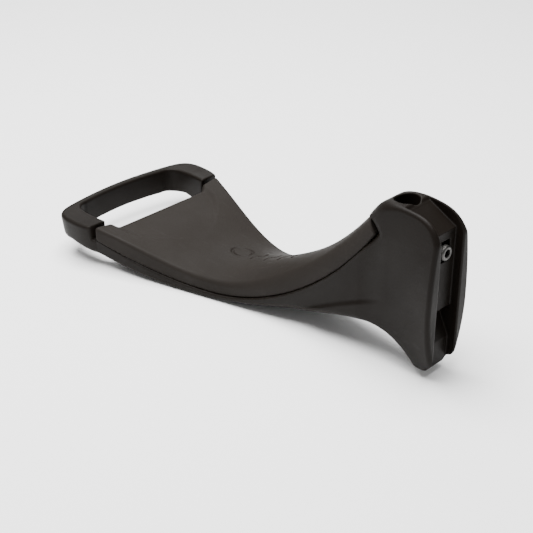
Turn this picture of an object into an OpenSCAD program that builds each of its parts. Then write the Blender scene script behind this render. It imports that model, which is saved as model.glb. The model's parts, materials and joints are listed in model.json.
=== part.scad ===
// Padded cradle horn: a moulded arm with a hand loop at one end and a socket for an upright post at
// the other, a separate soft saddle pad, and a clamp screw that grips the post.
// X runs along the arm towards the loop, Y across it, Z up along the post.
// The origin is where the clamp screw's axis meets the axis of the post socket.

/* [Arm] */
// Reach of the arm from the post axis to the end of the loop
reach = 280.5; // [272:0.5:288]
// Width of the hand loop
loop_w = 133.4; // [126:0.2:140]
// Width of the loop's end bar, seen from above
end_bar_w = 6.5; // [6:0.5:10]
// Width of the loop's side bars, seen from above
side_bar_w = 18.4; // [15:0.2:20]
// Height of the loop's top face, below the clamp screw
loop_drop = 54.5; // [52:0.5:57]
// How far the arm shows past the pad at its sides
ledge = 1; // [0.5:0.1:2]

/* [Pad] */
// Length of the hand opening in front of the pad
opening_len = 45; // [41:1:49]
// Gap between the pad's shoulders and the loop's side bars
shoulder_gap = 2.6; // [1.6:0.2:4]
// Level of the pad's top at the bottom of the saddle, below the clamp screw
saddle_drop = 72; // [70:0.5:73]

/* [Head] */
// Width of the head at its widest, at the back rim
head_w = 40.5; // [38:0.5:44]
// Distance from the post axis to the back rim
head_back = 36; // [34:1:38]
// Height of the cheeks above the clamp screw
cheek_top = 26.5; // [25.5:0.5:28]
// Width of the channel between the cheeks
channel_w = 22; // [19:0.5:22]
// Depth of the channel, from the back rim to the block
channel_depth = 6.5; // [5:0.5:8]

/* [Post socket] */
// Bore of the post socket
socket_d = 16.2; // [15.8:0.1:16.6]
// Height of the socket's mouth above the clamp screw
socket_top = 24; // [22:0.5:25]
// Depth of the socket
socket_depth = 65; // [55:1:70]

/* [Clamp] */
// Thread diameter of the clamp screw
screw_d = 6; // [5:0.5:6]
// Diameter of the clamp screw's head
screw_head_d = 10; // [8.5:0.5:10]
// Height of the clamp screw's head
screw_head_h = 6; // [5:0.5:6]
// How far the clamp screw's head stands out of the block
screw_head_out = 3; // [2.6:0.1:4]
// Distance across the flats of the screw's hex socket
screw_key = 5; // [4:1:5]
// Width of the square nut and of the shoe in front of it
nut_w = 10; // [9.5:0.5:10]
// Thickness of the square nut
nut_h = 5; // [4:0.5:5]
// Travel of the clamp shoe into the socket
shoe_travel = 2.5; // [1:0.5:3]

/* [Pad screws] */
// Diameter of the pad screws
pad_screw_d = 4; // [3.5:0.5:4]
// Length of the pad screws under their heads
pad_screw_len = 8; // [7:1:9]

/* [Hidden] */
$fn = 64;
past = 10;            // how far a cut runs past the face it opens
far = 200;            // longer than any extrusion needs to be
steps = 9;            // straight pieces in each curve of an outline

// Stations along the arm
end_bar_x = reach - end_bar_w;
pad_front = end_bar_x - opening_len;
slit_x = pad_front + 3.5;
loop_start = slit_x + shoulder_gap;
pad_top = [19.5, 12];           // where the pad's top meets the head
pad_heel = [12, 2.8];           // where the pad's underside meets the head
neck_x = 16;                    // where the arm starts to widen
neck_half = 14.5;
saddle_x = 138;                 // the lowest point of the saddle
rim_x = -head_back;
block_x = rim_x + channel_depth;
pad_half_end = 60.6;            // half width of the pad at its shoulders

// Clamp stations, along X
nut_gap = 0.2;                          // clearance of the nut and shoe in their channel
socket_wall_x = -socket_d / 2;
shoe_front_r = socket_d / 2 + 0.3;      // the shoe rests just behind the socket's wall
shoe_back_x = socket_wall_x - 2.6;
nut_front_x = shoe_back_x - 0.3;
nut_back_x = nut_front_x - nut_h;
head_face_x = block_x - screw_head_out;
head_seat_x = head_face_x + screw_head_h;
pocket_floor_x = head_seat_x + shoe_travel + 1;
tip_x = shoe_back_x + 1.2;              // the screw's tip turns in a recess in the shoe
tip_r = 2.2;

// Pad screws: place along X, place across Y, and how far the head sits below the seat
PAD_SCREWS = [[60, 0, 4], [100, 0, 3.6], [216, -30, 4], [216, 30, 4]];
pad_head_r = 3.6;
pad_head_h = 2.6;

// Points of a cubic curve from a to d that leaves towards b and arrives from c, without its last point
function curve(a, b, c, d, n = steps) = [
    for (i = [0 : n - 1])
        let (t = i / n, s = 1 - t)
        s * s * s * a + 3 * s * s * t * b + 3 * s * t * t * c + t * t * t * d
];
function reversed(list) = [for (i = [len(list) - 1 : -1 : 0]) list[i]];
function mirrored(list) = [for (p = reversed(list)) [p[0], -p[1]]];

// Height of the pad's seat on the arm at x
function seat_z(x) = lookup(x, seat);

// Side outlines, in X and Z
saddle_top = concat(
    curve(pad_top, [46, -21], [92, -saddle_drop], [saddle_x, -saddle_drop]),
    curve([saddle_x, -saddle_drop], [170, -saddle_drop], [204, -loop_drop - 6], [slit_x - 2, -loop_drop - 1.6])
);
seat = concat(
    curve(pad_heel, [38, -40], [88, -81.8], [saddle_x + 2, -81.8]),
    curve([saddle_x + 2, -81.8], [172, -81.8], [205, -74], [slit_x - 2, -65]),
    [[slit_x - 2, -65], [loop_start, -63.8]]
);
underside = concat(
    curve([-20, -81.5], [-13, -68.5], [0, -62.3], [16, -62.4]),
    curve([16, -62.4], [50, -66.5], [105, -87.3], [164, -87]),
    curve([164, -87], [192, -87.2], [226, -79.5], [reach - 24, -73.2])
);
chin = concat(
    curve([reach - 24, -73.2], [reach - 13, -73.6], [reach - 0.5, -74.6], [reach, -66]),
    [[reach, -66], [reach, -loop_drop]]
);
head_top = concat(
    curve(pad_top, [13.5, 24.5], [8, cheek_top], [-2, cheek_top]),
    curve([-2, cheek_top], [-17, cheek_top], [-28, 23], [rim_x, 11]),
    [[rim_x, 11]]
);
foot = concat(
    curve([rim_x, -72], [rim_x, -79], [-31, -83], [-25, -83]),
    [[-25, -83]]
);
pad_side = concat(
    saddle_top,
    [[slit_x, -loop_drop - 1.5], [slit_x, seat_z(slit_x)]],
    reversed([for (p = seat) if (p[0] < slit_x) p])
);
body_side = concat(head_top, foot, underside, chin, [[loop_start, -loop_drop]], reversed(seat));

// Half outlines seen from above, in X and Y
half_arm = concat(
    [[rim_x, head_w / 2], [-24, 17.8], [-10, 15.9], [0, 15.1], [8, 14.8]],
    curve([neck_x, neck_half + ledge], [100, 20 + ledge], [165, 41 + ledge], [slit_x - 1, pad_half_end + ledge]),
    curve([slit_x - 1, pad_half_end + ledge], [241, 64.6], [248, loop_w / 2], [reach - 25, loop_w / 2]),
    curve([reach - 25, loop_w / 2], [reach - 13, loop_w / 2], [reach - 7.6, 62], [reach - 5.2, 50]),
    curve([reach - 5.2, 50], [reach - 2, 34], [reach, 16], [reach, 0])
);
half_pad = concat(
    [[pad_heel[0] - 1, neck_half]],
    curve([neck_x, neck_half], [100, 20], [165, 41], [slit_x - 2, pad_half_end]),
    [[slit_x - 2, pad_half_end], [slit_x, 57], [slit_x, 47], [slit_x - 1, 45], [pad_front, 40.5]]
);
opening_half = loop_w / 2 - side_bar_w;
half_opening = concat(
    [[pad_front, 40.5], [slit_x - 1, 45], [slit_x, 47]],
    curve([slit_x + 3.5, opening_half], [reach - 22, opening_half + 1.5], [reach - 11, opening_half + 1], [end_bar_x - 3.5, 37]),
    curve([end_bar_x - 3.5, 37], [end_bar_x - 1, 24], [end_bar_x, 12], [end_bar_x, 0])
);

// Half outline of the head seen from behind, in Y and Z: wide in the middle, narrower to each end
rim_mid_z = -36;
function rim_half(z) = head_w / 2 - pow(z - rim_mid_z, 2) / (z < rim_mid_z ? 195 : 560);
half_rim = [for (z = [-90 : 6 : 30]) [rim_half(z), z]];

module side_solid(points, width) {
    rotate([90, 0, 0])
        linear_extrude(width, center = true)
            polygon(points);
}

module plan_solid(half_points) {
    translate([0, 0, -far / 2 - 20])
        linear_extrude(far)
            polygon(concat(half_points, mirrored(half_points)));
}

module rim_solid(from_x, to_x) {
    translate([from_x, 0, 0])
        rotate([90, 0, 90])
            linear_extrude(to_x - from_x)
                polygon(concat(half_rim, [for (p = reversed(half_rim)) [-p[0], p[1]]]));
}

// A cylinder along X
module rod_x(from_x, to_x, r) {
    translate([from_x, 0, 0])
        rotate([0, 90, 0])
            cylinder(h = to_x - from_x, r = r);
}

// A box along X, centred on the clamp screw's axis
module bar_x(from_x, to_x, wide, high) {
    translate([from_x, -wide / 2, -high / 2])
        cube([to_x - from_x, wide, high]);
}

module horn_shape() {
    intersection() {
        side_solid(body_side, far);
        plan_solid(half_arm);
    }
}

// What narrows the head towards its top and its foot
module rim_trim() {
    difference() {
        translate([rim_x - past, -far / 2, -far / 2])
            cube([25 - rim_x + past, far, far]);
        rim_solid(rim_x - past - 1, 26);
    }
}

// The open channel behind the block, over its sloping top and under it
module channel_cut() {
    side_solid([
        [rim_x - past, -76], [rim_x + 1, -76], [-19, -41], [block_x, -41], [block_x, 13.5],
        [block_x + 2, 14.5], [-9.6, socket_top], [-5.5, socket_top], [-5.5, 60], [rim_x - past, 60]
    ], channel_w);
}

// A pocket sunk from the seat down to the level z, with its middle at y
module core_pocket(from_x, to_x, y, wide, z) {
    translate([from_x, y - wide / 2, z])
        cube([to_x - from_x, wide, far / 4]);
}

// Pockets that keep the moulding's walls even, closed off by the pad
module core_pockets() {
    for (y = [-23, 0, 23]) {
        core_pocket(166, 184, y, 17, -83.4);
        core_pocket(190, 206, y, 17, -80.5);
    }
    for (y = [-6, 6]) {
        core_pocket(32, 48, y, 9, -53);
        core_pocket(72, 86, y, 9, -70);
    }
}

module pad_screw_holes() {
    for (s = PAD_SCREWS)
        translate([s[0], s[1], seat_z(s[0]) - s[2]]) {
            translate([0, 0, -past - 20])
                cylinder(h = past + 20, r = pad_head_r + 0.6);
            translate([0, 0, -1])
                cylinder(h = 30, r = pad_screw_d / 2 + 0.2);
        }
}

module horn_body() {
    color("#312d29")
        difference() {
            horn_shape();
            rim_trim();
            channel_cut();
            plan_solid(half_opening);
            translate([0, 0, socket_top - socket_depth])
                cylinder(h = socket_depth + past, d = socket_d);
            bar_x(block_x - past, pocket_floor_x, screw_head_d + 2, screw_head_d + 4);
            rod_x(block_x, 0, screw_d / 2 + 0.2);
            bar_x(nut_back_x, 0, nut_w + 2 * nut_gap, nut_w + 2 * nut_gap);
            core_pockets();
            pad_screw_holes();
        }
}

module saddle_pad() {
    color("#45403c")
        difference() {
            intersection() {
                side_solid(pad_side, far);
                plan_solid(half_pad);
            }
            for (s = PAD_SCREWS)
                translate([s[0], s[1], seat_z(s[0]) - past])
                    cylinder(h = past - s[2] + pad_screw_len, r = pad_screw_d / 2 - 0.25);
        }
}

module pad_screw() {
    translate([0, 0, -pad_head_h])
        difference() {
            cylinder(h = pad_head_h, r = pad_head_r);
            translate([0, 0, -1])
                cylinder(h = 2.6, r = 1.3, $fn = 6);
        }
    cylinder(h = pad_screw_len, r = pad_screw_d / 2);
}

module pad_screws() {
    color("#8b8b88")
        for (s = PAD_SCREWS)
            translate([s[0], s[1], seat_z(s[0]) - s[2]])
                pad_screw();
}

module clamp_screw() {
    color("#8b8b88")
        difference() {
            union() {
                rod_x(head_face_x, head_seat_x, screw_head_d / 2);
                rod_x(head_seat_x - 1, shoe_back_x - 0.3, screw_d / 2);
                rod_x(head_seat_x, tip_x - 0.1, tip_r);
            }
            translate([head_face_x - 1, 0, 0])
                rotate([0, 90, 0])
                    cylinder(h = 4, r = screw_key / 2 / cos(30), $fn = 6);
        }
}

module clamp_nut() {
    color("#a2a29c")
        difference() {
            bar_x(nut_back_x, nut_front_x, nut_w, nut_w);
            rod_x(nut_back_x - 1, nut_front_x + 1, screw_d / 2 + 0.05);
        }
}

// The shoe's face is hollowed to the post's radius
module clamp_shoe() {
    color("#b08d4f")
        difference() {
            bar_x(shoe_back_x, socket_wall_x + 2, nut_w, nut_w);
            translate([0, 0, -far / 2])
                cylinder(h = far, r = shoe_front_r);
            rod_x(shoe_back_x - 1, tip_x, tip_r + 0.05);
        }
}

horn_body();
saddle_pad();
pad_screws();
clamp_screw();
clamp_nut();
clamp_shoe();
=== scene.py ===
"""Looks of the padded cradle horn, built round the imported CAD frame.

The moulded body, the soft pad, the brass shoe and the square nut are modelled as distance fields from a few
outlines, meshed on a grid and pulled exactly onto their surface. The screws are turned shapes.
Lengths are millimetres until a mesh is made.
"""
import json
import math

import bpy
import numpy as np
import openvdb
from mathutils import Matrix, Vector


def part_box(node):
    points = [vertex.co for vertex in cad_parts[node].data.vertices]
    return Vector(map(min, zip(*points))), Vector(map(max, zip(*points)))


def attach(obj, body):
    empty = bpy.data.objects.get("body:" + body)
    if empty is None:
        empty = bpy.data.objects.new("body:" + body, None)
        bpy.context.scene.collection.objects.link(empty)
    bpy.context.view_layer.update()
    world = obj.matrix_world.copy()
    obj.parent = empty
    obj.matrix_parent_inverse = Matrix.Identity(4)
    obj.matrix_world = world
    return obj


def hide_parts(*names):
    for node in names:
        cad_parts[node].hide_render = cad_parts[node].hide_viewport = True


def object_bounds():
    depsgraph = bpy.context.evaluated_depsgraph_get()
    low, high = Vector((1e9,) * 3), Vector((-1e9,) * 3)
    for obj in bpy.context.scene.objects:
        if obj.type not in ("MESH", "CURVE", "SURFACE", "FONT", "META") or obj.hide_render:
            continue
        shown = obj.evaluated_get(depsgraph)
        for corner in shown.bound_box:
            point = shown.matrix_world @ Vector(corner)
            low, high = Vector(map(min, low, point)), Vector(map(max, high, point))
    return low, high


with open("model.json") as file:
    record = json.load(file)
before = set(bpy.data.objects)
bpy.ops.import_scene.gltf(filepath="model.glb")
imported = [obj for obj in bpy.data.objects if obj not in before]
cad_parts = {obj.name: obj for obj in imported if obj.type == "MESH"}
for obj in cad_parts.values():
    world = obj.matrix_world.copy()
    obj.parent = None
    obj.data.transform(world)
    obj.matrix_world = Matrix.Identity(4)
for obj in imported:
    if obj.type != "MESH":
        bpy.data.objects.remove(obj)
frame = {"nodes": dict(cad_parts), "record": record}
cad_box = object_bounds()
record = frame["record"]

MM = 0.001


def node_mm(node):
    low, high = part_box(node)
    return np.array(low) / MM, np.array(high) / MM


# ---------------------------------------------------------------- driving sizes, from the frame

BODY_LOW, BODY_HIGH = node_mm("horn_body")
RIM_X = BODY_LOW[0]                     # plane of the back rim
REACH = BODY_HIGH[0]                    # end of the loop
HALF_W = BODY_HIGH[1]                   # half the loop's width
HEAD_TOP = BODY_HIGH[2]                 # top of the cheeks
ARM_LOW = BODY_LOW[2]                   # underside of the arm at its lowest
PAD_LOW, PAD_HIGH = node_mm("saddle_pad")
SLIT_X = PAD_HIGH[0]                    # tips of the pad's shoulders, where the slits begin
SCREW_LOW, SCREW_HIGH = node_mm("clamp_screw")
NUT_LOW, NUT_HIGH = node_mm("clamp_nut")
SHOE_LOW, SHOE_HIGH = node_mm("clamp_shoe")
HEAD_R = SCREW_HIGH[2]                  # radius of the clamp screw's head
SOCKET = next(m for m in record["mounts"] if m["name"] == "post_socket")
SOCKET_R = SOCKET["dims"]["r_mm"]
SOCKET_TOP = 24.0                       # flat top of the block, round the socket's mouth
SOCKET_FLOOR = SOCKET_TOP - SOCKET["dims"]["length_mm"]
BLOCK_X = RIM_X + 6.5                   # back face of the block between the cheeks
CHANNEL_HALF = 11.0                     # half the width of the channel between the cheeks
DOME_X = -7.5                           # the dome round the socket's mouth ends here
BLOCK_SLOPE = math.radians(28)          # fall of the block's top towards the back
BLOCK_SLOPE_X = -9.6                    # where that fall starts
BLOCK_FOOT = (-19, -41)                 # front end of the slope under the block, in X and Z
CHANNEL_FOOT = (RIM_X + 1, -76)         # its back end
POCKET_DEPTH = 6.5                      # depth of the pocket round the clamp screw's head
RIM_MID_Z = -36                         # height at which the back rim is widest
NECK_X = 8                              # the head narrows from the back rim to here
LOOP_TOP = -54.2
LOOP_OVERLAP = 8                        # how far the arm runs on into the loop
SLIT_DEPTH = 1.6                        # depth of the slits' floor under the pad's seat
DRAFT_Z = -57                           # the loop's sides lean inwards below here
END_BAR_X = REACH - 6.5                 # inner face of the loop's end bar
OPENING_HALF = HALF_W - 18.4            # half the width of the hand opening, inside the loop's side bars
PAD_FRONT = SLIT_X - 3.5                # the pad's straight front edge
LOOP_START = SLIT_X + 2.6               # end faces of the loop's side bars
THREAD_R, PITCH = 3.0, 1.0              # of the clamp screw
GAP = 0.4                               # room round the clamp screw's shank and behind the nut

PAD_SCREW_LENGTH = 8.0                  # under the head
PAD_SCREW_HOLE_R = 2.4                  # its hole through the moulding
COUNTERBORE_R = 4.2
PAD_SCREWS = []                         # place along X and Y, and the height of each head's bearing face
screw_points = np.array([v.co for v in frame["nodes"]["pad_screws"].data.vertices]) / MM
for place in ((60, 0), (100, 0), (216, -30), (216, 30)):
    near = screw_points[np.hypot(*(screw_points[:, :2] - place).T) < 8]
    middle = (near.min(0) + near.max(0)) / 2
    PAD_SCREWS.append((middle[0], middle[1], near[:, 2].max() - PAD_SCREW_LENGTH))


# ---------------------------------------------------------------- outlines

def curve(a, b, c, d, n=40):
    """Points of a cubic curve from a to d that leaves towards b and arrives from c, without its end."""
    t = (np.arange(n) / n)[:, None]
    s = 1 - t
    a, b, c, d = (np.array(p, float) for p in (a, b, c, d))
    return s ** 3 * a + 3 * s * s * t * b + 3 * s * t * t * c + t ** 3 * d


def line(*points):
    return np.array(points, float)


def height(points):
    """A side outline that runs along X, as a function of x."""
    xs, zs = points[:, 0], points[:, 1]
    return lambda x: np.interp(x, xs, zs)


def outline_field(points, low, high, step=0.5):
    """Signed distance to a closed outline, negative inside, as a function of two coordinates."""
    us = np.arange(low[0], high[0] + step, step)
    vs = np.arange(low[1], high[1] + step, step)
    u, v = np.meshgrid(us, vs, indexing="ij")
    best = np.full(u.shape, 1e9)
    inside = np.zeros(u.shape, bool)
    for p, q in zip(points, np.roll(points, -1, axis=0)):
        e = q - p
        t = np.clip(((u - p[0]) * e[0] + (v - p[1]) * e[1]) / max(float(e @ e), 1e-12), 0, 1)
        best = np.minimum(best, (u - p[0] - t * e[0]) ** 2 + (v - p[1] - t * e[1]) ** 2)
        if p[1] != q[1]:
            crosses = (p[1] > v) != (q[1] > v)
            inside ^= crosses & (u < e[0] * (v - p[1]) / e[1] + p[0])
    table = (np.sqrt(best) * np.where(inside, -1, 1)).astype(np.float32)

    def field(a, b):
        a, b = np.broadcast_arrays(a, b)
        i = np.clip((a - low[0]) / step, 0, table.shape[0] - 1.001)
        j = np.clip((b - low[1]) / step, 0, table.shape[1] - 1.001)
        i0, j0 = i.astype(np.int32), j.astype(np.int32)
        fi, fj = i - i0, j - j0
        return ((table[i0, j0] * (1 - fi) + table[i0 + 1, j0] * fi) * (1 - fj)
                + (table[i0, j0 + 1] * (1 - fi) + table[i0 + 1, j0 + 1] * fi) * fj)

    return field


def both_sides(half):
    """A closed outline seen from above, from its half on the +Y side."""
    return np.vstack([half, half[::-1] * [1, -1]])


PAD_TOP_END = (19.5, 12.0)              # where the pad's top meets the head
PAD_HEEL = (12.0, 2.8)                  # where the pad's underside meets the head

seat_line = np.vstack([
    curve(PAD_HEEL, (38, -40), (88, -81.8), (140, -81.8)),
    curve((140, -81.8), (172, -81.8), (205, -74), (SLIT_X - 2, -65)),
    line((SLIT_X - 2, -65), (LOOP_START + 20, -58)),
])
pad_edge_line = np.vstack([
    line((0, 34)),
    curve((18, 8.5), (44, -27), (90, -72.5), (140, -72.5)),
    curve((140, -72.5), (172, -72.5), (199, -60), (231, -54.3)),
    line((231, -54.3), (245, -52)),
])
under_line = np.vstack([
    curve((-20.5, -81), (-13.5, -68), (-0.5, -62), (16, -62.4)),
    curve((16, -62.4), (50, -66.5), (105, -87.3), (164, -87)),
    curve((164, -87), (192, -87.2), (226, -79.5), (REACH - 24, -73.2)),
])
chin = np.vstack([
    curve((REACH - 24, -73.2), (REACH - 13, -74.2), (REACH + 1.2, -76.4), (REACH + 1.4, -66)),
    line((REACH + 1.4, -64), (REACH + 1.4, LOOP_TOP)),
])
head_top = np.vstack([
    curve(PAD_TOP_END, (13.5, 24.5), (8, HEAD_TOP), (-2, HEAD_TOP)),
    curve((-2, HEAD_TOP), (-20, HEAD_TOP), (-29.5, 25.5), (RIM_X + 1, 13)),
    curve((RIM_X + 1, 13), (RIM_X + 0.3, 12), (RIM_X, 10.5), (RIM_X, 8.5)),
    line((RIM_X, 8.5)),
])
foot = np.vstack([
    curve((RIM_X, -72), (RIM_X, -79), (-31, -82.4), (-25.5, -82.4)),
    line((-25.5, -82.4)),
])

SIDE_LOW, SIDE_HIGH = (RIM_X - 8, ARM_LOW - 8), (REACH + 8, HEAD_TOP + 8)
PLAN_LOW, PLAN_HIGH = (RIM_X - 8, -HALF_W - 8), (REACH + 8, HALF_W + 8)

core_side = outline_field(np.vstack([
    head_top, foot, under_line, chin, line((REACH + 1.4, -58)), seat_line[::-1],
]), SIDE_LOW, SIDE_HIGH)
loop_side = outline_field(np.vstack([
    under_line[-60:], chin, line((LOOP_START - 20, LOOP_TOP)),
]), SIDE_LOW, SIDE_HIGH)

REAR_HALF = 20.2                        # half width of the head at its back rim
PAD_HALF_END = 60.8                     # half width of the pad at its shoulders
arm_half = np.vstack([
    line((RIM_X - 20, REAR_HALF)),
    curve((RIM_X, REAR_HALF), (-23, 17.8), (-9, 14.8), (7, 14.8)),
    curve((7, 14.8), (13, 14.8), (19, 15.6), (24, 16.3)),
    curve((24, 16.3), (98, 22.4), (165, 42.2), (SLIT_X - 1, PAD_HALF_END + 1)),
    curve((SLIT_X - 1, PAD_HALF_END + 1), (238, 65.4), (245, HALF_W), (REACH - 25, HALF_W)),
    curve((REACH - 25, HALF_W), (REACH - 13, HALF_W), (REACH - 7.6, 62), (REACH - 5.2, 50)),
    curve((REACH - 5.2, 50), (REACH - 2, 34), (REACH, 16), (REACH, 0)),
])
pad_half = np.vstack([
    line((0, 14.4)),
    curve((16, 14.5), (100, 20), (165, 41.2), (SLIT_X - 2, PAD_HALF_END)),
    curve((SLIT_X - 2, PAD_HALF_END), (SLIT_X, 61), (SLIT_X, 59.5), (SLIT_X, 57.5)),
    curve((SLIT_X, 57.5), (SLIT_X, 54), (SLIT_X, 51), (SLIT_X, 48)),
    curve((SLIT_X, 48), (SLIT_X, 44.5), (PAD_FRONT + 1, 44.5), (PAD_FRONT, 40.5)),
    line((PAD_FRONT, 40.5)),
])
opening_half = np.vstack([
    line((PAD_FRONT, 40.5)),
    curve((PAD_FRONT, 40.5), (PAD_FRONT + 1, 45), (SLIT_X + 1, OPENING_HALF - 1), (SLIT_X + 4, OPENING_HALF)),
    curve((SLIT_X + 4, OPENING_HALF), (REACH - 22, OPENING_HALF + 2), (REACH - 9.6, OPENING_HALF + 1.4),
          (END_BAR_X - 3.2, 37)),
    curve((END_BAR_X - 3.2, 37), (END_BAR_X - 1, 24), (END_BAR_X, 12), (END_BAR_X, 0)),
])
arm_plan = outline_field(both_sides(arm_half), PLAN_LOW, PLAN_HIGH)
pad_plan = outline_field(both_sides(pad_half), PLAN_LOW, PLAN_HIGH)
opening_plan = outline_field(both_sides(opening_half), PLAN_LOW, PLAN_HIGH)

seat_z = height(np.vstack([line((-28, 68.6)), seat_line]))      # carried on past its heel at the same slope
pad_edge_z = height(pad_edge_line)


# ---------------------------------------------------------------- ways to join shapes

def ramp(x, low, high):
    """0 below low, 1 above high, smooth between."""
    t = np.clip((x - low) / (high - low), 0, 1)
    return t * t * (3 - 2 * t)


def both(a, b, r):
    """Where a and b overlap, with the edge between them rounded to the radius r."""
    return np.minimum(np.maximum(a, b), -r) + np.hypot(np.maximum(a + r, 0), np.maximum(b + r, 0))


def cut(a, hole, r):
    """What is left of a outside the hole, with the hole's edge rounded to the radius r."""
    return both(a, -hole, r)


def box_field(values, halves, r=0.0):
    """Distance to a box with the given half sizes and edge radius; the values are from its middle."""
    q = [np.abs(v) - h + r for v, h in zip(values, halves)]
    outside = np.sqrt(sum(np.maximum(p, 0) ** 2 for p in q))
    return outside + np.minimum(np.maximum(np.maximum(q[0], q[1]), q[2]), 0) - r


def slope_factor(line_fn, x):
    """Turns a height above a sloping line into the distance from it."""
    return 1 / np.hypot(1, (line_fn(x + 1) - line_fn(x - 1)) / 2)


# ---------------------------------------------------------------- the moulded body

def rear_half(z):
    """Half width of the head at its back rim, widest in the middle."""
    below = np.minimum(z - RIM_MID_Z, 0)
    above = np.maximum(z - RIM_MID_Z, 0)
    return REAR_HALF - below ** 2 / 205 - above ** 2 / 560


def crease_z(x):
    """Height of the line where the hollow flank meets the flared lower edge."""
    return -34.0 - 0.36 * (x + 16) - 0.0011 * (x + 16) ** 2


def flank_pinch(x, z):
    """How much narrower the body is than its plan outline."""
    towards_rim = np.clip((NECK_X - x) / (NECK_X - RIM_X), 0, 1) ** 1.3
    head = towards_rim * (REAR_HALF - rear_half(z))
    below_seat = (seat_z(x) - z) * slope_factor(seat_z, x)
    web = 1.6 * ramp(below_seat, 1.5, 13) * ramp(z - crease_z(x), -2.5, 1.5)
    web = web * ramp(x, 2, 22) * ramp(-x, -112, -72)
    draft = 0.12 * np.maximum(DRAFT_Z - z, 0) * ramp(x, 190, 238)
    return head + web + draft


def edge_radius(x, z, below_seat):
    """Radius of the body's edges: largest on the head's front, smallest along the pad's seat."""
    head = 3.0 + 4.5 * ramp(x, -8, 12) * ramp(z, -14, 8)
    arm = 0.8 + 3.4 * ramp(below_seat, 1, 8) + 1.6 * ramp(x, 215, 240) * ramp(below_seat, 3, 9)
    return head + (arm - head) * ramp(x, 14, 28)


def channel_field(x, y, z):
    """The channel between the cheeks: over the block's sloping top, behind the block and under it."""
    fall = (SOCKET_TOP - z) * math.cos(BLOCK_SLOPE) + np.minimum(x - BLOCK_SLOPE_X, 0) * math.sin(BLOCK_SLOPE)
    over = both(fall, x - DOME_X, 3.0)
    run, rise = BLOCK_FOOT[0] - CHANNEL_FOOT[0], BLOCK_FOOT[1] - CHANNEL_FOOT[1]
    foot_slope = ((x - CHANNEL_FOOT[0]) * rise - (z - CHANNEL_FOOT[1]) * run) / math.hypot(run, rise)
    under = np.maximum(z - BLOCK_FOOT[1], foot_slope)
    hollow = np.minimum(np.minimum(over, x - BLOCK_X), under)
    return both(hollow, np.abs(y) - CHANNEL_HALF, 0.8)


def clamp_field(x, y, z):
    """The bore for the clamp's screw and the square channel for its nut and its shoe."""
    shank = np.maximum(np.hypot(y, z) - THREAD_R - GAP, np.maximum(BLOCK_X - x, x + 1))
    half_length = (GAP - NUT_LOW[0]) / 2
    half_width = NUT_HIGH[1] + 0.7
    channel = box_field((x + half_length, y, z), (half_length, half_width, half_width), 0.3)
    return np.minimum(shank, channel)


def body_field(x, y, z):
    plan = arm_plan(x, y) + flank_pinch(x, z)
    below_seat = (seat_z(x) - z) * slope_factor(seat_z, x)
    core = both(core_side(x, z), plan, edge_radius(x, z, below_seat))

    # the loop stands higher than the seat, and its underside has a larger radius than its top
    loop = both(loop_side(x, z), plan, 2.2 + 3.3 * ramp(-z, 62, 68))
    loop = both(loop, LOOP_START - x, 1.5)
    core = np.minimum(np.maximum(core, x - LOOP_START - LOOP_OVERLAP), loop)
    slit = np.maximum(np.maximum(SLIT_X - 0.4 - x, x - LOOP_START), seat_z(x) - SLIT_DEPTH - z)
    core = cut(core, slit, 0.8)
    core = cut(core, opening_plan(x, y), 2.0)

    core = cut(core, channel_field(x, y, z), 1.1)
    bore = np.maximum(np.hypot(x, y) - SOCKET_R, SOCKET_FLOOR - z)
    core = cut(core, bore, 1.0)
    screw_pocket = box_field((x - BLOCK_X, y, z), (POCKET_DEPTH, HEAD_R + 1, HEAD_R + 2), 0.8)
    core = cut(core, screw_pocket, 0.6)
    core = cut(core, clamp_field(x, y, z), 0.4)

    for sx, sy, head_z in PAD_SCREWS:
        r = np.hypot(x - sx, y - sy)
        core = cut(core, np.maximum(r - COUNTERBORE_R, z - head_z), 0.4)
        core = cut(core, r - PAD_SCREW_HOLE_R, 0.3)
    return core


# ---------------------------------------------------------------- the pad

PAD_SIDE = pad_half[:41]                # the pad's long side edge, to its shoulder


def pad_half_at(x):
    return np.interp(x, PAD_SIDE[:, 0], PAD_SIDE[:, 1])


def pad_top(x, y):
    """Height of the pad's top: crowned on the steep part, dished between its two shoulders."""
    across = np.clip(np.abs(y) / pad_half_at(x), 0, 1.1)
    crown = 7.8 * ramp(-x, -215, -112) + 3.0 * np.exp(-((x - 90) / 30) ** 2)
    fold = 41.5 - 0.017 * np.maximum(229 - x, 0) ** 2       # where each shoulder rises from the dish
    shoulder = 0.56 * ramp(np.abs(y), fold - 0.5, fold + 6) + 0.44 * ramp(across, 0.72, 1.05)
    dish = 4.7 * ramp(x, 178, 232)
    return pad_edge_z(x) + crown * (1 - across ** 2) - dish * (1 - shoulder)


OVAL_X, OVAL_HALVES = 145, (8.5, 6)
STROKES_X, STROKE_HALF = (128, 115, 102, 89), 6
STROKE_LEAN = (0.55, 0.835)             # direction of a stroke
MOTIF_Y = -3
MOTIF_DEPTH = 0.8
HEEL_NORMAL = (0.77, 0.64)              # lean of the pad's end face against the head
HEEL_GAP = 0.7
PAD_HOLE_R = 2.3                        # hole in the pad for each of its screws


def motif(x, y):
    """Distance in plan to a plain engraved ornament: an oval and four slanted strokes."""
    v = y - MOTIF_Y
    d = np.abs(np.hypot((x - OVAL_X) / OVAL_HALVES[0], v / OVAL_HALVES[1]) - 1) * 7
    for middle in STROKES_X:
        u = x - middle
        along = STROKE_LEAN[0] * u + STROKE_LEAN[1] * v
        across = STROKE_LEAN[1] * u - STROKE_LEAN[0] * v - 1.5 * np.sin(along * np.pi / STROKE_HALF)
        d = np.minimum(d, np.hypot(across, np.maximum(np.abs(along) - STROKE_HALF, 0)))
    return d


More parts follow.
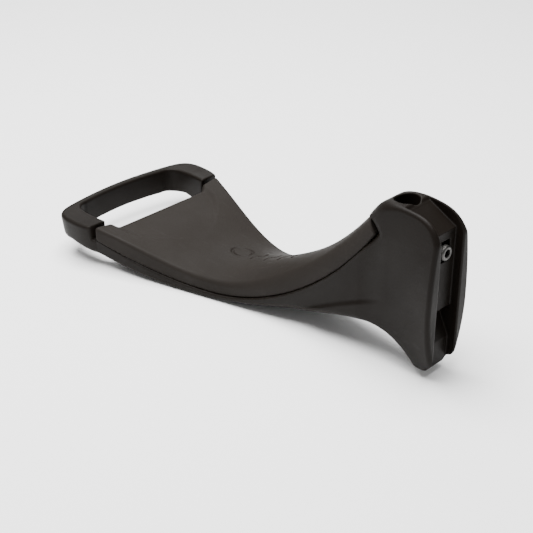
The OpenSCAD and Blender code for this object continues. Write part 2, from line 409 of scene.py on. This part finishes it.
def pad_field(x, y, z):
    steep = ramp(-x, -150, -60)         # 1 by the head, 0 on the wide part
    narrow = ramp(-x, -170, -110)
    dx = (pad_top(x + 1, y) - pad_top(x - 1, y)) / 2
    dy = (pad_top(x, y + 1) - pad_top(x, y - 1)) / 2
    top = (z - pad_top(x, y)) / np.sqrt(1 + dx * dx + dy * dy)
    top = top + MOTIF_DEPTH * ramp(-motif(x, y), -1.5, -0.2)
    bottom = (seat_z(x) + 0.05 + 0.2 * narrow - z) * slope_factor(seat_z, x)
    heel = (z - PAD_HEEL[1]) * HEEL_NORMAL[1] - (x - PAD_HEEL[0]) * HEEL_NORMAL[0]
    pad = both(top, pad_plan(x, y), 2.6 + 2.9 * steep)
    pad = both(pad, bottom, 0.7 + 0.3 * narrow)
    pad = both(pad, heel + HEEL_GAP, 0.9)
    for sx, sy, head_z in PAD_SCREWS:
        r = np.hypot(x - sx, y - sy)
        pad = cut(pad, np.maximum(r - PAD_HOLE_R, z - head_z - PAD_SCREW_LENGTH - 0.6), 0.2)
    return pad


# ---------------------------------------------------------------- the brass shoe and the square nut

def shoe_field(x, y, z):
    middle = [(a + b) / 2 for a, b in zip(SHOE_LOW, SHOE_HIGH)]
    halves = [(b - a) / 2 for a, b in zip(SHOE_LOW, SHOE_HIGH)]
    block = box_field([v - m for v, m in zip((x, y, z), middle)], halves, 0.5)
    block = cut(block, np.hypot(x, y) - SOCKET_R - 0.3, 0.15)
    tip_recess = np.maximum(np.hypot(y, z) - 2.35, x - SCREW_HIGH[0] - 0.15)
    return cut(block, tip_recess, 0.15)


def nut_field(x, y, z):
    middle = [(a + b) / 2 for a, b in zip(NUT_LOW, NUT_HIGH)]
    halves = [(b - a) / 2 for a, b in zip(NUT_LOW, NUT_HIGH)]
    block = box_field([v - m for v, m in zip((x, y, z), middle)], halves, 0.5)
    r = np.hypot(y, z)
    chamfer = r + np.abs(x - middle[0]) * 0.6 - 7.9
    block = both(block, chamfer, 0.2)
    return cut(block, r - THREAD_R - 0.1, 0.35)


# ---------------------------------------------------------------- meshes

def gradient(field, p, h=0.1):
    g = np.empty_like(p)
    for axis in range(3):
        d = np.zeros(3)
        d[axis] = h
        g[:, axis] = (field(*(p + d).T) - field(*(p - d).T)) / (2 * h)
    return g


def add_piece(name, points, faces):
    mesh = bpy.data.meshes.new(name)
    mesh.from_pydata((np.asarray(points) * MM).tolist(), [], faces)
    mesh.shade_smooth()
    mesh.update()
    piece = bpy.data.objects.new(name, mesh)
    bpy.context.scene.collection.objects.link(piece)
    return piece


def grid_lines(low, high, step, fine_spans=()):
    """Places of the grid's planes along one axis, closer together in the fine spans."""
    places = [low - 4 * step]
    while places[-1] < high + 4 * step:
        fine = any(a < places[-1] < b for a, b in fine_spans)
        places.append(places[-1] + step * (0.7 if fine else 1))
    return np.array(places)


def mesh_field(name, field, axes):
    """Meshes the surface of a field and pulls each point onto it, and takes its normals from it."""
    voxel = min(np.diff(a).min() for a in axes)
    grid = np.empty([len(a) for a in axes], np.float32)
    y = axes[1][None, :, None]
    z = axes[2][None, None, :]
    for i in range(0, len(axes[0]), 16):
        x = axes[0][i:i + 16][:, None, None]
        grid[i:i + 16] = field(x, y, z) / voxel
    volume = openvdb.FloatGrid(4.0)
    volume.copyFromArray(np.clip(grid, -4, 4))
    points, quads = volume.convertToQuads(0.0)
    p = np.stack([np.interp(q, range(len(a)), a) for q, a in zip(points.T, axes)], 1)
    h = min(0.1, voxel / 5)
    for _ in range(4):
        g = gradient(field, p, h)
        step = g * (field(*p.T) / np.maximum((g * g).sum(1), 0.2))[:, None]
        p -= np.clip(step, -voxel, voxel)
    normals = gradient(field, p, h)
    normals /= np.maximum(np.linalg.norm(normals, axis=1), 1e-9)[:, None]
    piece = add_piece(name, p, quads.astype(int).tolist())
    piece.data.normals_split_custom_set_from_vertices(normals.tolist())
    return piece


def hexagon(across_flats, angles):
    """Radius of a hexagon in each direction."""
    return across_flats / 2 / np.cos((angles + np.pi / 6) % (np.pi / 3) - np.pi / 6)


def thread(stations, angles, pitch, core, crest):
    """Radius of a screw thread, one row for each station."""
    turn = (stations[:, None] / pitch - angles[None, :] / (2 * np.pi)) % 1
    flank = np.clip(1.35 - np.abs(turn - 0.5) * 3.6, 0, 1)
    return core + (crest - core) * flank


def turned(name, parts, place, along, segments):
    """A body made of rings round an axis; each part is its stations and a radius for each of them."""
    angles = np.arange(segments) * 2 * np.pi / segments
    points = []
    for stations, radii in parts:
        radii = np.broadcast_to(radii, (len(stations), segments))
        s = np.broadcast_to(np.array(stations, float)[:, None], radii.shape)
        u, v = radii * np.cos(angles), radii * np.sin(angles)
        ring = (s, u, v) if along == "x" else (u, v, s)
        points.append(np.stack(ring, -1).reshape(-1, 3))
    points = np.vstack(points) + place
    rings = len(points) // segments
    faces = [list(range(segments))[::-1], list(range((rings - 1) * segments, rings * segments))]
    for r in range(rings - 1):
        for i in range(segments):
            j = (i + 1) % segments
            low, high = r * segments, (r + 1) * segments
            faces.append([low + i, low + j, high + j, high + i])
    piece = add_piece(name, points, faces)
    piece.data.set_sharp_from_angle(angle=math.radians(38))
    return piece


def rows(*radii):
    """One row for each radius, which is a number or a value for each direction."""
    n = max(np.size(r) for r in radii)
    return np.array([np.broadcast_to(r, n) for r in radii])


def install(piece, body, node, slot):
    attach(piece, body)
    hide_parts(node)
    piece.data.materials.append(FINISHES[slot])


# ---------------------------------------------------------------- finishes

def finish(name, colour, shade, rough, grain, bump, wear, metal=0.0, lines=None):
    """A material with cloudy colour and roughness, fine grain, paler worn edges and, if asked, tool marks."""
    m = bpy.data.materials.new(name)
    m.use_nodes = True
    tree = m.node_tree
    shader = tree.nodes["Principled BSDF"]
    shader.inputs["Metallic"].default_value = metal
    shader.inputs["Specular IOR Level"].default_value = 0.5 if metal else 0.08
    places = tree.nodes.new("ShaderNodeTexCoord").outputs["Object"]

    def noise(scale, detail, stretch=(1, 1, 1)):
        spread = tree.nodes.new("ShaderNodeMapping")
        spread.inputs["Scale"].default_value = stretch
        n = tree.nodes.new("ShaderNodeTexNoise")
        n.inputs["Scale"].default_value = scale
        n.inputs["Detail"].default_value = detail
        tree.links.new(places, spread.inputs["Vector"])
        tree.links.new(spread.outputs["Vector"], n.inputs["Vector"])
        return n.outputs["Fac"]

    def span(value, from_low, from_high, to_low, to_high):
        n = tree.nodes.new("ShaderNodeMapRange")
        ends = {"From Min": from_low, "From Max": from_high, "To Min": to_low, "To Max": to_high}
        for key, v in ends.items():
            n.inputs[key].default_value = v
        tree.links.new(value, n.inputs["Value"])
        return n.outputs["Result"]

    def mixed(fac, a, b):
        n = tree.nodes.new("ShaderNodeMix")
        n.data_type = "RGBA"
        tree.links.new(fac, n.inputs["Factor"])
        for key, v in (("A", a), ("B", b)):
            socket = next(s for s in n.inputs if s.name == key and s.type == "RGBA")
            if isinstance(v, tuple):
                socket.default_value = (*v, 1)
            else:
                tree.links.new(v, socket)
        return next(s for s in n.outputs if s.type == "RGBA")

    def added(a, b):
        n = tree.nodes.new("ShaderNodeMath")
        n.operation = "ADD"
        tree.links.new(a, n.inputs[0])
        tree.links.new(b, n.inputs[1])
        return n.outputs["Value"]

    cloudy = mixed(span(noise(22, 4), 0.3, 0.7, 0, 1), colour, shade)
    edge = tree.nodes.new("ShaderNodeNewGeometry").outputs["Pointiness"]
    worn = tree.nodes.new("ShaderNodeMath")
    worn.operation = "MULTIPLY"
    tree.links.new(span(edge, 0.515, 0.60, 0, wear), worn.inputs[0])
    tree.links.new(span(noise(90, 5), 0.4, 0.62, 0.3, 1), worn.inputs[1])
    pale = tuple(min(c * 2.2 + 0.01, 1) for c in colour)
    tree.links.new(mixed(worn.outputs["Value"], cloudy, pale), shader.inputs["Base Color"])

    cloud = span(noise(35, 5), 0.3, 0.7, rough - 0.06, rough + 0.06)
    scuff = span(noise(60, 6, (1, 7, 3)), 0.60, 0.74, 0, -0.10)
    tree.links.new(added(cloud, scuff), shader.inputs["Roughness"])

    relief = span(noise(grain, 3), 0.25, 0.75, 0, 1)
    if lines:
        relief = added(relief, span(noise(60, 2, lines), 0.3, 0.7, 0, 1.5))
    n = tree.nodes.new("ShaderNodeBump")
    n.inputs["Strength"].default_value = bump
    n.inputs["Distance"].default_value = 0.0001
    tree.links.new(relief, n.inputs["Height"])
    tree.links.new(n.outputs["Normal"], shader.inputs["Normal"])
    return m


FINISHES = {
    "body_nylon": finish("body_nylon", (0.0054, 0.0039, 0.0028), (0.0046, 0.0033, 0.0024),
                         rough=0.48, grain=1500, bump=0.45, wear=0.30),
    "pad_soft": finish("pad_soft", (0.0128, 0.0105, 0.0088), (0.0110, 0.0090, 0.0075),
                       rough=0.60, grain=1100, bump=0.60, wear=0.20),
    "screw_steel": finish("screw_steel", (0.070, 0.068, 0.065), (0.050, 0.049, 0.047),
                          rough=0.42, grain=2500, bump=0.25, wear=0.5, metal=1.0, lines=(4, 60, 60)),
    "nut_steel": finish("nut_steel", (0.56, 0.55, 0.50), (0.45, 0.45, 0.43),
                        rough=0.38, grain=1800, bump=0.30, wear=0.5, metal=1.0, lines=(60, 4, 4)),
    "shoe_brass": finish("shoe_brass", (0.62, 0.42, 0.17), (0.50, 0.33, 0.13),
                         rough=0.36, grain=2000, bump=0.30, wear=0.4, metal=1.0, lines=(60, 4, 60)),
}


# ---------------------------------------------------------------- pieces

detail = 1.22    # the grid's step, in mm
HEAD_SPAN, SLIT_SPAN, MOTIF_SPAN = (-60, 26), (226, 243), (78, 158)
HEIGHTS = (-90, 40)
body = mesh_field("horn_body_moulding", body_field, (
    grid_lines(BODY_LOW[0], BODY_HIGH[0], detail, (HEAD_SPAN, SLIT_SPAN)),
    grid_lines(BODY_LOW[1], BODY_HIGH[1], detail, ((-16, 16), (40, 56), (-56, -40))),
    grid_lines(BODY_LOW[2], BODY_HIGH[2], detail, (HEIGHTS,)),
))
install(body, "horn", "horn_body", "body_nylon")
pad = mesh_field("saddle_pad_cover", pad_field, (
    grid_lines(PAD_LOW[0], PAD_HIGH[0], detail, (MOTIF_SPAN,)),
    grid_lines(PAD_LOW[1], PAD_HIGH[1], detail, ((-14, 10),)),
    grid_lines(PAD_LOW[2], PAD_HIGH[2] + 4, detail, (HEIGHTS,)),
))
install(pad, "horn", "saddle_pad", "pad_soft")

shoe_axes = [grid_lines(a, b, 0.25) for a, b in zip(SHOE_LOW, SHOE_HIGH)]
shoe = mesh_field("clamp_shoe_block", shoe_field, shoe_axes)
install(shoe, "shoe", "clamp_shoe", "shoe_brass")
nut_axes = [grid_lines(a, b, 0.3) for a, b in zip(NUT_LOW, NUT_HIGH)]
nut = mesh_field("clamp_nut_square", nut_field, nut_axes)
install(nut, "horn", "clamp_nut", "nut_steel")

SCREW_SEGMENTS = 144
turns = np.arange(SCREW_SEGMENTS) * 2 * np.pi / SCREW_SEGMENTS
face, end = SCREW_LOW[0], SCREW_HIGH[0]
seat, shank_end = face + 6, end - 1.4
knurl = HEAD_R - 0.16 * np.abs(2 * ((turns * 36 / (2 * np.pi)) % 1) - 1)
key = hexagon(5, turns)
shank = np.arange(seat + 0.8, shank_end, PITCH / 8)
fade = np.clip((shank_end - shank) / 0.9, 0, 1)[:, None] * np.clip((shank - seat) / 1.5, 0, 1)[:, None]
clamp_screw = turned("clamp_screw_cap", [
    ([face + 4.0, face + 3.2, face + 0.3, face], rows(0.3, key, key, np.maximum(key + 0.15, 2.95))),
    ([face, face + 0.15, face + 0.7, face + 0.9, seat - 0.5, seat - 0.3, seat],
     rows(4.1, 4.35, HEAD_R - 0.2, knurl, knurl, HEAD_R - 0.2, HEAD_R - 0.4)),
    ([seat, seat + 0.4], rows(3.3, 2.9)),
    (shank, 2.48 + (thread(shank, turns, PITCH, 2.45, THREAD_R) - 2.48) * fade),
    ([shank_end, shank_end + 0.1, end - 0.3, end], rows(2.3, 2.2, 2.2, 1.9)),
], (0, 0, 0), "x", SCREW_SEGMENTS)
install(clamp_screw, "screw", "clamp_screw", "screw_steel")

PAD_SEGMENTS = 48
turns = np.arange(PAD_SEGMENTS) * 2 * np.pi / PAD_SEGMENTS
key = hexagon(2.3, turns)
cutting = np.arange(0.6, 6.4, 1.4 / 10)
fade = np.clip((6.6 - cutting) / 1.2, 0, 1)[:, None]
fasteners = []
for number, (sx, sy, head_z) in enumerate(PAD_SCREWS):
    fasteners.append(turned("pad_screw_%d" % (number + 1), [
        ([-0.9, -1.1, -2.45, -2.6], rows(0.3, key, key, key + 0.15)),
        ([-2.6, -2.45, -1.9, -0.3, 0], rows(2.4, 2.9, 3.5, 3.6, 3.45)),
        ([0, 0.3], rows(2.1, 1.6)),
        (cutting, 1.45 + (thread(cutting, turns, 1.4, 1.45, 2.0) - 1.45) * fade),
        ([6.6, 7.6, 8.0], rows(1.4, 1.0, 0.5)),
    ], (sx, sy, head_z), "z", PAD_SEGMENTS))
bpy.ops.object.select_all(action="DESELECT")
for piece in fasteners:
    piece.select_set(True)
bpy.context.view_layer.objects.active = fasteners[0]
bpy.ops.object.join()
fasteners[0].name = "pad_screws_turned"
install(fasteners[0], "horn", "pad_screws", "screw_steel")


# ---------------------------------------------------------------- camera, floor and light

AZIMUTH, ELEVATION = math.radians(224.01), math.radians(29.08)
towards_camera = Vector((math.sin(AZIMUTH) * math.cos(ELEVATION), -math.cos(AZIMUTH) * math.cos(ELEVATION),
                         math.sin(ELEVATION)))
camera = bpy.data.objects.new("camera", bpy.data.cameras.new("camera"))
camera.data.lens = 81.6
camera.data.sensor_width = 36.0
camera.location = (-0.39623, 0.53270, 0.34492)
camera.rotation_euler = towards_camera.to_track_quat("Z", "Y").to_euler()
bpy.context.scene.collection.objects.link(camera)
bpy.context.scene.camera = camera

floor_mesh = bpy.data.meshes.new("floor")
floor_z = cad_box[0][2]
corners = [(-4, -4, floor_z), (4, -4, floor_z), (4, 4, floor_z), (-4, 4, floor_z)]
floor_mesh.from_pydata(corners, [], [(0, 1, 2, 3)])
floor = bpy.data.objects.new("floor", floor_mesh)
bpy.context.scene.collection.objects.link(floor)
paper = bpy.data.materials.new("floor_paper")
paper.use_nodes = True
paper_shader = paper.node_tree.nodes["Principled BSDF"]
paper_shader.inputs["Base Color"].default_value = (0.92, 0.92, 0.92, 1)
paper_shader.inputs["Roughness"].default_value = 1.0
paper_shader.inputs["Specular IOR Level"].default_value = 0.0
floor_mesh.materials.append(paper)

world = bpy.data.worlds.new("world")
bpy.context.scene.world = world
world.use_nodes = True
world.node_tree.nodes["Background"].inputs["Color"].default_value = (1, 1, 1, 1)
world.node_tree.nodes["Background"].inputs["Strength"].default_value = 0.38


def area_light(name, place, target, size, power):
    data = bpy.data.lights.new(name, "AREA")
    data.size = size
    data.energy = power
    lamp = bpy.data.objects.new(name, data)
    lamp.location = place
    lamp.rotation_euler = (Vector(place) - Vector(target)).to_track_quat("Z", "Y").to_euler()
    bpy.context.scene.collection.objects.link(lamp)


area_light("top_softbox", (0.30, 0.10, 1.2), (0.12, 0, -0.05), 1.1, 70)
area_light("back_softbox", (1.05, -0.80, 0.65), (0.15, 0, -0.05), 0.7, 4)
